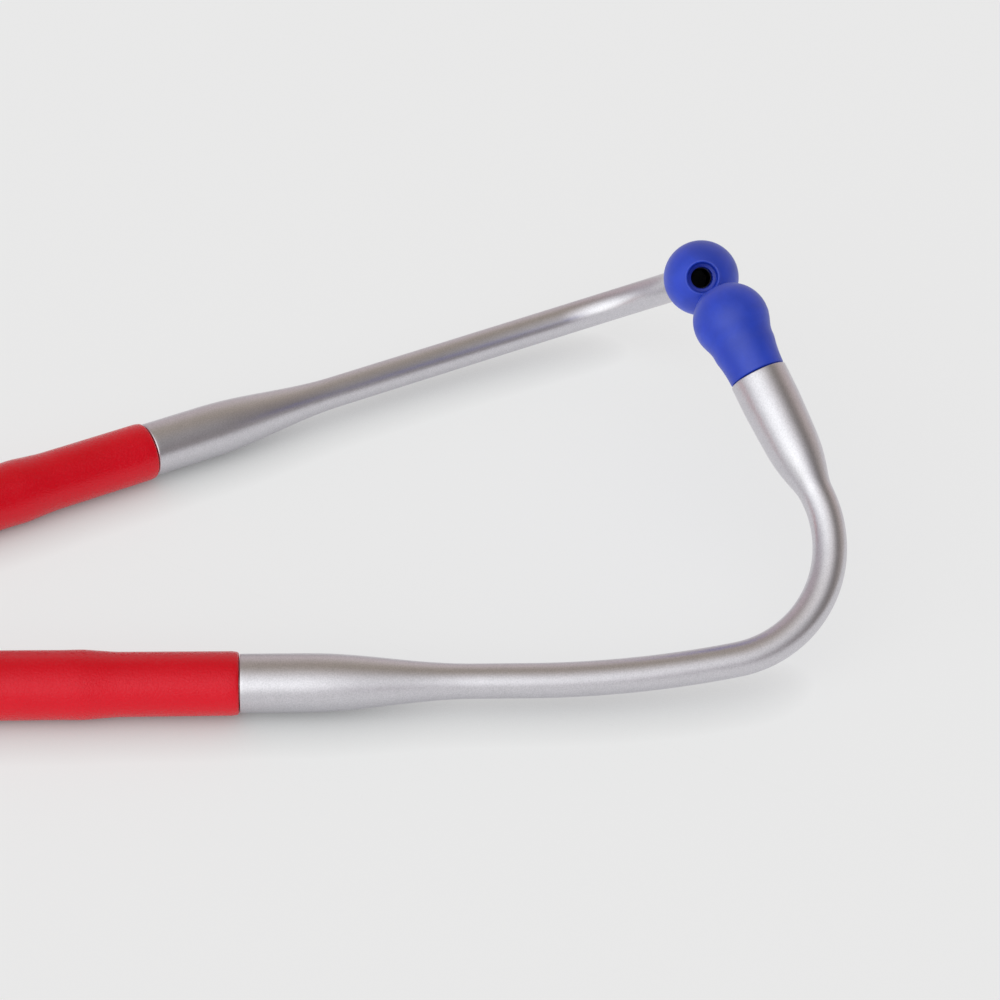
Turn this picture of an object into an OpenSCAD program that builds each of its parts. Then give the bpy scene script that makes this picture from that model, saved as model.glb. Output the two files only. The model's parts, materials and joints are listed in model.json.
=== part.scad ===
// Stethoscope lying at rest: Y-shaped soft tubing, sprung headset with bent metal ear tubes
// and soft ball ear tips, and a two-sided chestpiece that turns on its stem.
// +Z is up, +Y runs from the yoke to the ear tips, the origin is the middle of the footprint.

/* [Headset] */
// Half of the overall length, from the yoke's rear face to the ear tubes' front bends
half_length = 133.1; // [131:0.1:136]
// Distance of the headset's plane of symmetry from the origin
mid_x = 26.5; // [25:0.5:30]
// Half of the distance between the ear tubes, where the soft tubing ends
half_gap = 34.9; // [33:0.1:37]
// Angle of each ear tube to the plane of symmetry
half_angle = 14.3; // [12:0.1:16]
// Roll of each ear tube's bend above the table
bend_roll = 38.4; // [30:0.1:45]

/* [Ear tubes] */
// Outer diameter of the thin part of an ear tube
tube_d = 6; // [5.6:0.1:6.4]
// Outer diameter of the thick end beside the soft tubing
collar_d = 10; // [9:0.1:10.4]
// Length of the thick end before it tapers
collar_length = 11; // [8:0.5:13]
// Length of the smooth taper to the thin part
taper_length = 28.5; // [24:0.5:30]
// Length from the thick end's face to the first bend
straight_length = 48.9; // [46:0.1:54]
// Angle of the first, gentle bend
gentle_angle = 10.6; // [8:0.1:13]
// Radius of the first, gentle bend
gentle_radius = 196; // [180:1:210]
// Angle through which the whole ear tube turns
full_angle = 113.2; // [110:0.1:116]
// Radius of the second, tight bend
tight_radius = 21.1; // [20:0.1:23]
// Length from the end of the tight bend to the middle of the ear tip's ball
tip_reach = 34.9; // [34.5:0.1:36]
// Diameter of the flared end that carries the ear tip
flare_d = 10.4; // [9.8:0.1:11]
// Diameter of the sound channel in the ear tube
ear_channel_d = 4; // [3.4:0.1:4.4]
// How much later the left ear tube bends than the right one
left_later = 4.3; // [0:0.1:5]
// How much further the left ear tube turns than the right one
left_turn_more = 6.4; // [0:0.1:8]
// How much sooner the left ear tube leaves the soft tubing than the right one
left_sooner = 1; // [0:0.1:1.5]

/* [Ear tips] */
// Diameter of the soft ball
ball_d = 13.6; // [13:0.1:14]
// Diameter of the mouth of the ear tip
mouth_d = 6; // [5.4:0.1:6.4]
// Diameter of the sound channel in the ear tip
tip_channel_d = 3.6; // [3.2:0.1:3.9]

/* [Soft tubing] */
// Outer diameter of the tubing
hose_d = 11.8; // [11.4:0.1:12.2]
// Outer diameter of the tubing where an ear tube is pushed in
cuff_d = 10.9; // [10.4:0.1:11.2]
// Diameter of the sound channel in the tubing
channel_d = 4.8; // [4:0.1:5]
// Radius at which each branch curves away from the yoke
branch_radius = 120; // [110:1:130]
// Distance of each branch from the plane of symmetry at the yoke
knuckle_x = 6.3; // [6.3:0.1:6.6]

/* [Chestpiece] */
// Outer diameter of the large rim
large_d = 44; // [43:0.5:45]
// Outer diameter of the small rim
small_d = 33; // [32:0.5:34]
// Total thickness of the chestpiece
chest_height = 19.2; // [19:0.1:20]
// Height of the stem above the table
stem_z = 9.3; // [9:0.1:9.5]

/* [Hidden] */
$fn = 64;
LEFT = -1;
RIGHT = 1;

silver = "silver";
red = "crimson";
blue = "royalblue";
ivory = "ivory";

tube_r = tube_d / 2;
hose_r = hose_d / 2;
channel_r = channel_d / 2;
ear_channel_r = ear_channel_d / 2;
ball_r = ball_d / 2;
rest_z = hose_r;

// Ear tube ends: spigot in the soft tubing, socket for the ear tip's core, and their fits
running_fit = 0.05;
face_gap = 0.25;

// Where two stretches of one piece meet, one laps into the other and is a hair smaller
joint_lap = 0.4;
joint_hair = 0.05;

spigot_r = 3.2;
spigot_length = 16;
socket_r = 2.6;
socket_length = 6;
metal_end = 11.1;
tip_face = 10.9;
core_r = 3.6;
core_end = -3;
mouth_floor = 2.6;

// The two ear tubes are bent by hand, so each side has its own measures
function straight(side) = straight_length + (side == LEFT ? left_later : 0);
function turn(side) = full_angle + (side == LEFT ? left_turn_more : 0);
function face(side) = side == LEFT ? -left_sooner : 0;

// Middle of the tight bend, in the plane in which the ear tube is bent
function tight_middle(side) = [
    -gentle_radius + (gentle_radius - tight_radius) * cos(gentle_angle),
    straight(side) + (gentle_radius - tight_radius) * sin(gentle_angle),
    0
];

// The left ear tube's foremost point lies where its bend runs square to the plane of symmetry
front_turn = 90 + atan(cos(bend_roll) * tan(half_angle));
front = tight_middle(LEFT) + tight_radius * [cos(front_turn), sin(front_turn), 0];
front_reach = front.y * cos(half_angle) - front.x * cos(bend_roll) * sin(half_angle) + tube_r;
collar_y = half_length - front_reach;

// The right one's outermost point, which the chestpiece's far edge balances on the other side
side_turn = atan(tan(half_angle) / cos(bend_roll));
side_x = tight_middle(RIGHT).x + tight_radius * cos(side_turn);
side_y = tight_middle(RIGHT).y + tight_radius * sin(side_turn);
side_reach = half_gap + side_y * sin(half_angle) + side_x * cos(bend_roll) * cos(half_angle)
    + tube_r;
half_width = mid_x + side_reach;

// Branches: straight from the ear tube, then an arc into the yoke
branch_length = (half_gap - knuckle_x - branch_radius * (1 - cos(half_angle))) / sin(half_angle);
knuckle_y = collar_y - branch_length * cos(half_angle) - branch_radius * sin(half_angle);
cuff_length = 22;
cup_r = hose_r + 0.25;
cup_depth = 3.5;

// Leaf spring: one hairpin of strip inside the inner walls of both branches
strip_t = 0.8;
strip_h = 5;
strip_offset = 4;
slot_t = strip_t + 0.2;
slot_h = strip_h + 0.4;
leg_length = 18;
hairpin_back = 3;

// Main tube: the route of its middle from the yoke's rear face to the stem's collar
route_from_yoke = [
    [26.5, 0, 5.9], [26.5, -15, 5.9], [28, -37, 5.9], [31.5, -59, 5.9], [34, -81, 5.9],
    [33.5, -104, 5.9], [28, -126, 5.9], [16, -145, 5.9], [-2, -157, 5.9], [-23, -160, 5.9],
    [-44, -155, 5.9], [-61, -142, 5.9], [-71, -123, 5.9], [-74, -101, 5.9], [-72, -78, 5.9],
    [-68, -56, 6], [-64, -32, 7], [-61.5, -9, 8.8], [-61, 2, 9.3], [-61, 16, 9.3]
];
main_route = [for (point = route_from_yoke) point - [0, half_length, 0]];
hose_sides = 12;

// Stem, measured from the chestpiece's middle towards the main tube
stem_collar = 27;
stem_shoulder = 20.3;
stem_barb = 43;
journal_r = 3;
journal_end = -3.4;
bushing_r = 4;
boss_r = 5.6;
boss_end = 20;
sound_r = 1.6;
groove_at = 13;
ring_at = 18.6;
ring_r = 0.6;
ring_seat_r = 2.3;

// The chestpiece's far edge and the stem's end balance the footprint about the origin
chest_x = large_d / 2 - half_width;
chest_back = half_length - stem_barb;

// Chestpiece heights, from the small side on the table to the large side on top
lip_t = 1.1;
lip_w = 3.4;
diaphragm_t = 0.8;
diaphragm_edge_t = 0.5;
small_face = lip_t + diaphragm_edge_t;
large_face = chest_height - lip_t - diaphragm_edge_t;
rim_t = 2;

// ---- placing ----

// Mirrors what is drawn for the +X side onto the side asked for, about the plane of symmetry.
module on_side(side) {
    translate([mid_x, 0, 0]) scale_x(side) children();
}

module scale_x(side) {
    if (side == LEFT) mirror([1, 0, 0]) children();
    else children();
}

// The ear tube's axis as +Y, from the face of its thick end.
module on_tube_axis() {
    translate([half_gap, collar_y, rest_z]) rotate([0, 0, -half_angle]) children();
}

// The plane of the ear tube's bends: it turns towards -X.
module in_bend_plane() {
    on_tube_axis() rotate([0, bend_roll, 0]) children();
}

// The straight end after the tight bend, from where it begins.
module after_bend(side) {
    in_bend_plane() translate(tight_middle(side)) rotate([0, 0, turn(side)])
        translate([tight_radius, 0, 0]) children();
}

// The same with the ball's middle as the origin and +Z outwards.
module at_ear_tip(side) {
    after_bend(side) translate([0, tip_reach, 0]) rotate([-90, 0, 0]) children();
}

// Turns a profile of [radius, distance] into a solid about +Y.
module turned(profile) {
    rotate([-90, 0, 0]) rotate_extrude() polygon(profile);
}

// ---- headset ----

module ring_section(outer_r, inner_r) {
    difference() {
        circle(outer_r);
        circle(inner_r);
    }
}

// One bent stretch of ear tube, from an angle to another about the middle of its bend. It laps
// into both neighbours, and its wall is a hair thinner than theirs on both faces.
module tube_bend(middle, radius, from, to, hair) {
    lap = joint_lap / radius * 180 / PI;
    translate(middle) rotate([0, 0, from - lap]) rotate_extrude(angle = to - from + 2 * lap)
        translate([radius, 0]) ring_section(tube_r - hair, ear_channel_r + hair);
}

taper_steps = 8;
collar_r = collar_d / 2;
edge = 0.4;
taper_profile = [
    for (step = [0:taper_steps])
        [
            (collar_r + tube_r) / 2 + (collar_r - tube_r) / 2 * cos(180 * step / taper_steps),
            collar_length + taper_length * step / taper_steps
        ]
];
function collar_profile(side) = concat(
    [
        [ear_channel_r, -spigot_length], [spigot_r - edge, -spigot_length],
        [spigot_r, edge - spigot_length], [spigot_r, face(side)], [collar_r - edge, face(side)],
        [collar_r, face(side) + edge]
    ],
    taper_profile,
    [[tube_r, straight(side)], [ear_channel_r, straight(side)]]
);

flare_r = flare_d / 2;
flare_profile = [
    [ear_channel_r, 0], [tube_r, 0], [tube_r, tip_reach - 33.6], [tube_r + 0.2, tip_reach - 32.8],
    [4.2, tip_reach - 28.6], [4.6, tip_reach - 26.4], [4.92, tip_reach - 22.4],
    [flare_r, tip_reach - 16.5], [flare_r, tip_reach - metal_end - edge],
    [flare_r - edge, tip_reach - metal_end], [socket_r, tip_reach - metal_end],
    [socket_r, tip_reach - metal_end - socket_length],
    [ear_channel_r, tip_reach - metal_end - socket_length]
];

module ear_tube(side) {
    color(silver) on_side(side) {
        in_bend_plane() {
            turned(collar_profile(side));
            tube_bend([-gentle_radius, straight(side), 0], gentle_radius, 0, gentle_angle,
                joint_hair);
            tube_bend(tight_middle(side), tight_radius, gentle_angle, turn(side),
                2 * joint_hair);
        }
        after_bend(side) turned(flare_profile);
    }
}

// Hard core of an ear tip, with the nipple that goes into the ear tube.
module ear_tip_core(side) {
    nipple_r = socket_r - running_fit;
    nipple_end = metal_end + socket_length - 0.5;
    color("black") on_side(side) at_ear_tip(side) rotate_extrude() polygon([
        [tip_channel_d / 2, -nipple_end], [nipple_r, -nipple_end], [nipple_r, -tip_face],
        [core_r, -tip_face], [core_r, core_end], [tip_channel_d / 2, core_end]
    ]);
}

// Soft ear tip: a ball that runs down into a slightly conical neck.
module ear_tip(side) {
    neck_base_r = 4.8;
    neck_top_r = 5.5;
    neck_top = 3.5;
    color(blue) on_side(side) at_ear_tip(side) difference() {
        union() {
            sphere(ball_r);
            translate([0, 0, -tip_face]) cylinder(h = tip_face - neck_top, r1 = neck_base_r,
                r2 = neck_top_r);
        }
        translate([0, 0, -tip_face - 1]) cylinder(h = tip_face + 1 + core_end, r = core_r);
        translate([0, 0, core_end - 1]) cylinder(h = ball_d, d = tip_channel_d);
        translate([0, 0, mouth_floor]) cylinder(h = ball_r, d = mouth_d);
    }
}

// ---- soft tubing ----

cuff_r = cuff_d / 2;
spigot_bore_r = spigot_r + running_fit;
function branch_profile(end) = [
    [channel_r, -branch_length], [hose_r, -branch_length], [hose_r, -cuff_length - 3],
    [cuff_r, -cuff_length], [cuff_r, end - edge], [cuff_r - edge, end], [spigot_bore_r, end],
    [spigot_bore_r, -spigot_length - edge], [channel_r, -spigot_length - edge]
];

// The arc into the yoke, swept from any section drawn at the hose's middle, with a lap at its ends.
module branch_arc(lap_length) {
    lap = lap_length / branch_radius * 180 / PI;
    translate([knuckle_x + branch_radius, knuckle_y, rest_z])
        rotate([0, 0, 180 - half_angle - lap]) rotate_extrude(angle = half_angle + 2 * lap)
            translate([branch_radius, 0]) children();
}

// A straight strip in the straight part of a branch, and one in its half ball.
module straight_strips(t, h, length, back, lap) {
    on_tube_axis() translate([-strip_offset - t / 2, -branch_length - lap, -h / 2])
        cube([t, length + lap, h]);
    translate([knuckle_x - strip_offset - t / 2, knuckle_y - back, rest_z - h / 2])
        cube([t, back + lap, h]);
}

module spring_slot() {
    wide = 2 * joint_hair;
    branch_arc(0) translate([strip_offset, 0]) square([slot_t, slot_h], center = true);
    straight_strips(slot_t + wide, slot_h + wide, leg_length + 1, hose_r + 1, joint_lap);
}

module half_ball() {
    translate([knuckle_x, knuckle_y, rest_z]) difference() {
        sphere(hose_r);
        translate([-hose_d, 0, -hose_d]) cube(2 * hose_d);
        rotate([90, 0, 0]) cylinder(h = hose_d, r = channel_r);
    }
}

module branch(side) {
    color(red) on_side(side) difference() {
        union() {
            on_tube_axis() turned(branch_profile(face(side) - face_gap));
            branch_arc(joint_lap) ring_section(hose_r - joint_hair, channel_r + joint_hair);
            half_ball();
        }
        spring_slot();
    }
}

// The moulding in which both branches and the main tube meet.
module yoke() {
    front_y = knuckle_y - cup_depth;
    bore_start = knuckle_y - 2;
    join_y = 5 - half_length;
    run = bore_start - join_y;
    slot_half = knuckle_x - strip_offset + slot_t / 2;
    color(red) translate([mid_x, 0, 0]) difference() {
        hull() {
            for (x = [-knuckle_x, knuckle_x])
                translate([x, front_y, rest_z]) rotate([90, 0, 0]) cylinder(h = 6, r = hose_r);
            translate([0, 4 - half_length, rest_z]) rotate([90, 0, 0]) cylinder(h = 4, r = hose_r);
        }
        for (side = [LEFT, RIGHT]) {
            translate([side * knuckle_x, knuckle_y, rest_z]) sphere(cup_r);
            translate([side * knuckle_x, bore_start, rest_z])
                rotate([90, 0, -side * atan(knuckle_x / run)])
                    cylinder(h = norm([knuckle_x, run]), r = channel_r - 0.2);
        }
        translate([0, join_y + 2, rest_z]) rotate([90, 0, 0]) cylinder(h = 10, r = channel_r);
        translate([-slot_half, knuckle_y - hairpin_back - slot_half - 0.2, rest_z - slot_h / 2])
            cube([2 * slot_half, hairpin_back + slot_half, slot_h]);
    }
}

// Hairpin of spring strip that holds the ear tips together.
module leaf_spring() {
    color("gray") translate([mid_x, 0, 0]) {
        for (side = [LEFT, RIGHT]) scale_x(side) {
            branch_arc(0) translate([strip_offset, 0]) square([strip_t, strip_h], center = true);
            straight_strips(strip_t - 2 * joint_hair, strip_h - 2 * joint_hair, leg_length,
                hairpin_back + 0.1, joint_lap);
        }
        translate([0, knuckle_y - hairpin_back, rest_z]) rotate([0, 0, 180])
            rotate_extrude(angle = 180) translate([knuckle_x - strip_offset, 0])
                square([strip_t, strip_h], center = true);
    }
}

function unit(v) = v / norm(v);
function heading(route, i) = unit(
    route[min(i + 1, len(route) - 1)] - route[max(i - 1, 0)]
);

// One ring of the swept tube, upright and square to the route.
function ring_points(route, i, r, sides) = let (
    along = i == 0 ? [0, -1, 0] : i == len(route) - 1 ? [0, 1, 0] : heading(route, i),
    across = unit(cross(along, [0, 0, 1])),
    up = cross(across, along)
)
    [for (s = [0:sides - 1]) route[i] + r * (cos(360 * s / sides) * across
        + sin(360 * s / sides) * up)];

module swept_tube(route, r, sides) {
    rings = len(route);
    points = [for (i = [0:rings - 1]) each ring_points(route, i, r, sides)];
    walls = [
        for (i = [0:rings - 2], s = [0:sides - 1])
            let (next = (s + 1) % sides)
                [i * sides + s, i * sides + next, (i + 1) * sides + next, (i + 1) * sides + s]
    ];
    first_end = [[for (s = [sides - 1:-1:0]) s]];
    last_end = [[for (s = [0:sides - 1]) (rings - 1) * sides + s]];
    polyhedron(points, concat(first_end, walls, last_end));
}

module main_tube() {
    color(red) swept_tube(main_route, hose_r, hose_sides);
}

// ---- chestpiece ----

module at_chestpiece() {
    translate([chest_x, -chest_back, 0]) children();
}

// The stem's axis, with distances measured towards the main tube.
module on_stem_axis() {
    at_chestpiece() translate([0, 0, stem_z]) rotate([90, 0, 0]) children();
}

module stem() {
    seat_half = ring_r + 0.1;
    groove_half = 1.4;
    groove_r = 2.4;
    shoulder_r = 4.8;
    neck_r = 4.3;
    stop_r = 5.4;
    barb_r = 3.1;
    color(silver) difference() {
        on_stem_axis() rotate_extrude() polygon([
            [sound_r, journal_end], [journal_r, journal_end],
            [journal_r, groove_at - groove_half], [groove_r, groove_at - groove_half],
            [groove_r, groove_at + groove_half], [journal_r, groove_at + groove_half],
            [journal_r, ring_at - seat_half], [ring_seat_r, ring_at - seat_half],
            [ring_seat_r, ring_at + seat_half], [journal_r, ring_at + seat_half],
            [journal_r, stem_shoulder], [shoulder_r - edge, stem_shoulder],
            [shoulder_r, stem_shoulder + edge], [neck_r, stem_shoulder + 3],
            [neck_r, stem_collar - 1.6], [stop_r, stem_collar - 1.6], [stop_r, stem_collar],
            [barb_r, stem_collar], [barb_r, stem_barb - 1], [barb_r - 0.6, stem_barb],
            [sound_r, stem_barb]
        ]);
        at_chestpiece() translate([0, 0, stem_z]) cylinder(h = journal_r + 1, r = sound_r);
    }
}

module stem_o_ring() {
    color("black") on_stem_axis() translate([0, 0, ring_at]) rotate_extrude()
        translate([ring_seat_r + ring_r + 0.05, 0]) circle(ring_r);
}

// Plain bearing sleeve between the stem and the chestpiece, with a wider seat for the O-ring.
module stem_bushing() {
    seat_r = ring_seat_r + 2 * ring_r + 0.1;
    color("dimgray") difference() {
        on_stem_axis() rotate_extrude() polygon([
            [journal_r + running_fit, 4], [bushing_r, 4], [bushing_r, boss_end],
            [seat_r, boss_end], [seat_r, ring_at - ring_r - 0.2],
            [journal_r + running_fit, ring_at - ring_r - 0.2]
        ]);
        screw_shape(0.1);
    }
}

// The screw's tip runs in the stem's groove and keeps the stem in.
module screw_shape(play) {
    screw_r = 1.25;
    tip = 2.6;
    screw_end = boss_r - 0.3;
    on_stem_axis() translate([tip - play, 0, groove_at]) rotate([0, 90, 0])
        cylinder(h = screw_end - tip + 2 * play, r = screw_r + play / 2);
}

module set_screw() {
    hex_r = 0.75;
    hex_depth = 1.2;
    color("dimgray") difference() {
        screw_shape(0);
        on_stem_axis() translate([boss_r - 0.3 - hex_depth, 0, groove_at]) rotate([0, 90, 0])
            cylinder(h = 2, r = hex_r, $fn = 6);
    }
}

module chestpiece_body() {
    flange_r = large_d / 2 - rim_t;
    foot_r = small_d / 2 - rim_t;
    waist_r = 9.5;
    color(silver) difference() {
        union() {
            at_chestpiece() rotate_extrude() polygon([
                [0, small_face + 1.2], [foot_r - 2, small_face + 0.6], [foot_r - 1.4, small_face],
                [foot_r, small_face], [foot_r, small_face + 2.6], [waist_r + 2.4, 6.4],
                [waist_r, 8.2], [waist_r, 10.4], [waist_r + 2.6, 12.2], [flange_r - 1, 14],
                [flange_r, 14.6], [flange_r, large_face], [flange_r - 1.6, large_face],
                [flange_r - 2.6, large_face - 0.7], [0, large_face - 2]
            ]);
            on_stem_axis() cylinder(h = boss_end, r = boss_r);
        }
        on_stem_axis() translate([0, 0, 4]) cylinder(h = boss_end, r = bushing_r);
        on_stem_axis() translate([0, 0, journal_end - 0.4])
            cylinder(h = 8, r = journal_r + running_fit);
        at_chestpiece() cylinder(h = chest_height, r = sound_r);
        on_stem_axis() translate([0, 0, groove_at]) rotate([0, 90, 0])
            cylinder(h = 2 * boss_r, r = 1.25);
    }
}

// A rim's section: a wall around the flange, and a lip over the edge of the diaphragm.
module rim(outer_r, top, wall_h) {
    translate([0, 0, top]) rotate_extrude() polygon([
        [outer_r - rim_t, -wall_h], [outer_r - edge, -wall_h], [outer_r, edge - wall_h],
        [outer_r, -edge], [outer_r - edge, 0], [outer_r - lip_w, 0], [outer_r - lip_w, -lip_t],
        [outer_r - rim_t, -lip_t]
    ]);
}

// A diaphragm's section: a thin edge that the rim's lip holds, and a flat middle inside the lip.
module diaphragm(outer_r) {
    edge_r = outer_r - rim_t - running_fit;
    middle_r = outer_r - lip_w - 0.2;
    rotate_extrude() polygon([
        [0, 0], [edge_r, 0], [edge_r, diaphragm_edge_t], [middle_r, diaphragm_edge_t],
        [middle_r, diaphragm_t], [0, diaphragm_t]
    ]);
}

module large_diaphragm() {
    color(ivory) at_chestpiece() translate([0, 0, large_face]) diaphragm(large_d / 2);
}

module large_rim() {
    color(blue) at_chestpiece() rim(large_d / 2, chest_height, 4);
}

module small_diaphragm() {
    color(ivory) at_chestpiece() translate([0, 0, small_face]) mirror([0, 0, 1])
        diaphragm(small_d / 2);
}

module small_rim() {
    color(blue) at_chestpiece() mirror([0, 0, 1]) rim(small_d / 2, 0, 3.4);
}

ear_tip(LEFT);  // ear_tip_left
ear_tip(RIGHT);  // ear_tip_right
ear_tip_core(LEFT);  // ear_tip_core_left
ear_tip_core(RIGHT);  // ear_tip_core_right
ear_tube(LEFT);  // ear_tube_left
ear_tube(RIGHT);  // ear_tube_right
branch(LEFT);  // branch_left
branch(RIGHT);  // branch_right
yoke();
leaf_spring();
main_tube();
stem();
stem_o_ring();
stem_bushing();
set_screw();
chestpiece_body();
large_diaphragm();
large_rim();
small_diaphragm();
small_rim();
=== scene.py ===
"""Looks of a stethoscope: soft Y-shaped tubing, bent metal ear tubes, ball ear tips, chestpiece.

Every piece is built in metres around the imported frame, whose joints and boxes give the places.
"""
import json
import logging
import math
from dataclasses import dataclass, field
from enum import Enum
from typing import Callable, Sequence

import bpy
import numpy as np
from mathutils import Matrix, Vector


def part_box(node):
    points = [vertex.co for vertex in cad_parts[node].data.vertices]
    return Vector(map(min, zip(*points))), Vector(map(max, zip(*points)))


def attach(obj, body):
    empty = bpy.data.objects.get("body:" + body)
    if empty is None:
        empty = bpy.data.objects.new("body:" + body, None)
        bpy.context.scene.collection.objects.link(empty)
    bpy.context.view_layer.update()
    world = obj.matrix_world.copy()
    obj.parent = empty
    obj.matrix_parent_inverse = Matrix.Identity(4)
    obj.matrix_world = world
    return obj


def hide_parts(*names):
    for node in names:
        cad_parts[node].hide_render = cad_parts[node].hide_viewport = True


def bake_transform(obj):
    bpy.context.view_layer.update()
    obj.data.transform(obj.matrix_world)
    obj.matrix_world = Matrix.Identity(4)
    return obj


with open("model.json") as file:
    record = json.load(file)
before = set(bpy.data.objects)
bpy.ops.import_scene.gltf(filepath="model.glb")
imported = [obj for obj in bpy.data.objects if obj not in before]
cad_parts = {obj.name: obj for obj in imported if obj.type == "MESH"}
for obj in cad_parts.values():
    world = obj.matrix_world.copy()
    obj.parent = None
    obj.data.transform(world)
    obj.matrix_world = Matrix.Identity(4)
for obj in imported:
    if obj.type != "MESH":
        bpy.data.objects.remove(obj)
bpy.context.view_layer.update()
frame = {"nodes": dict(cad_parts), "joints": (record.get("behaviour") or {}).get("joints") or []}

MM = 0.001
TURN = 2 * math.pi
log = logging.getLogger("stethoscope")
Colour = tuple[float, float, float]
Pairs = Sequence[tuple[float, float]]
Shape = tuple[list[Vector], list[list[int]]]
Socket = bpy.types.NodeSocket


class Side(Enum):
    """The two halves of the headset, named by the sign of X."""

    LEFT = -1
    RIGHT = 1

    @property
    def word(self) -> str:
        """The side's name as the frame's nodes, bodies and joints spell it."""
        return self.name.lower()


# ---- places in the frame


def joint(name: str) -> dict:
    """Finds a joint of the frame.

    Args:
        name: the joint's name.

    Returns:
        The joint as the record states it.
    """
    return next(j for j in frame["joints"] if j["name"] == name)


def joint_place(name: str) -> Vector:
    """The point that a joint turns about, in metres."""
    return Vector(joint(name)["pos_m"])


@dataclass(frozen=True)
class Places:
    """Where the headset's landmarks are, read from the frame's joints.

    The right side is built, and the left side is its mirror image.
    """

    socket: Vector = field(default_factory=lambda: joint_place("ear_right_twist"))
    axis: Vector = field(default_factory=lambda: Vector(joint("ear_right_twist")["axis"]))
    knuckle: Vector = field(default_factory=lambda: joint_place("arm_right_flex"))
    chest: Vector = field(default_factory=lambda: joint_place("chestpiece_turn"))

    @property
    def mid_x(self) -> float:
        """X of the headset's plane of symmetry."""
        return (joint_place("arm_left_flex").x + self.knuckle.x) / 2

    @property
    def half_angle(self) -> float:
        """Angle of an ear tube to the plane of symmetry, in radians."""
        return math.atan2(self.axis.x, self.axis.y)

    def tube_axis(self) -> Matrix:
        """A frame whose +Y is the right ear tube's axis, from the face of its thick end."""
        return Matrix.Translation(self.socket) @ Matrix.Rotation(-self.half_angle, 4, "Z")

    def mirror(self, side: Side) -> Matrix:
        """Carries what is built on the right onto a side.

        Args:
            side: the side that the piece belongs to.

        Returns:
            The identity on the right, and the mirror image on the left.
        """
        if side is Side.RIGHT:
            return Matrix.Identity(4)
        there = Matrix.Translation((self.mid_x, 0, 0))
        return there @ Matrix.Scale(-1, 4, (1, 0, 0)) @ there.inverted()


PLACES = Places()


# ---- mesh making


def new_piece(
    name: str,
    shape: Shape,
    finish: bpy.types.Material,
    place: Matrix = Matrix.Identity(4),
    sharp: float = 38.0,
) -> bpy.types.Object:
    """Makes one smooth-shaded piece.

    Args:
        name: the piece's name.
        shape: its vertices, and its faces wound outwards, before place is applied.
        finish: its material.
        place: carries the vertices into the frame, in metres, and may mirror them.
        sharp: edges that turn by more than this many degrees stay crisp.

    Returns:
        The new object, linked to the scene.
    """
    points, faces = shape
    mesh = bpy.data.meshes.new(name)
    if place.determinant() < 0:
        faces = [list(reversed(face)) for face in faces]
    mesh.from_pydata([place @ Vector(p) for p in points], [], faces)
    mesh.validate()
    mesh.polygons.foreach_set("use_smooth", [True] * len(mesh.polygons))
    mesh.set_sharp_from_angle(angle=math.radians(sharp))
    mesh.materials.append(finish)
    piece = bpy.data.objects.new(name, mesh)
    bpy.context.scene.collection.objects.link(piece)
    return piece


def tube_faces(rings: int, sides: int, closed: bool = True) -> list[list[int]]:
    """Faces of a tube whose rings follow each other.

    Args:
        rings: how many rings there are.
        sides: how many points each ring has.
        closed: whether both ends are capped.

    Returns:
        Vertex numbers of each face.
    """
    faces = []
    for ring in range(rings - 1):
        for side in range(sides):
            after = (side + 1) % sides
            low, high = ring * sides, (ring + 1) * sides
            faces.append([low + side, low + after, high + after, high + side])
    if closed:
        faces.append(list(reversed(range(sides))))
        faces.append([(rings - 1) * sides + side for side in range(sides)])
    return faces


def tangents(path: Sequence[Vector]) -> list[Vector]:
    """The direction along a path at each of its points."""
    last = len(path) - 1
    return [(path[min(i + 1, last)] - path[max(i - 1, 0)]).normalized() for i in range(last + 1)]


def swept(path: Sequence[Vector], radii: Sequence[float], sides: int) -> Shape:
    """A round tube of changing radius along a path, with no twist along it.

    Args:
        path: points along the middle, which doesn't start upright.
        radii: the radius at each point.
        sides: how many points go round.

    Returns:
        Vertices and faces of the closed tube.
    """
    points = []
    across = None
    for middle, radius, along in zip(path, radii, tangents(path)):
        seed = along.cross(Vector((0, 0, 1))) if across is None else across
        across = (seed - along * seed.dot(along)).normalized()
        over = across.cross(along)
        for side in range(sides):
            turn = TURN * side / sides
            points.append(middle + radius * (math.cos(turn) * across - math.sin(turn) * over))
    return points, tube_faces(len(path), sides)


def turned(profile: Pairs, sides: int) -> Shape:
    """A solid turned about +Z.

    Args:
        profile: (radius, height) pairs, upwards on the outside.
        sides: how many points go round.

    Returns:
        Vertices and faces. The ends are capped where the radius isn't zero.
    """
    points = [
        Vector((r * math.cos(TURN * s / sides), r * math.sin(TURN * s / sides), z))
        for r, z in profile
        for s in range(sides)
    ]
    return points, tube_faces(len(profile), sides)


def hollow_turned(profile: Pairs, sides: int) -> Shape:
    """A ring-shaped solid turned about +Z.

    Args:
        profile: (radius, height) pairs all round the section, upwards on the outside.
        sides: how many points go round.

    Returns:
        Vertices and faces. The last ring joins the first.
    """
    faces = tube_faces(len(profile), sides, closed=False)
    last = (len(profile) - 1) * sides
    faces += [[last + k, last + (k + 1) % sides, (k + 1) % sides, k] for k in range(sides)]
    return turned(profile, sides)[0], faces


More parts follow.
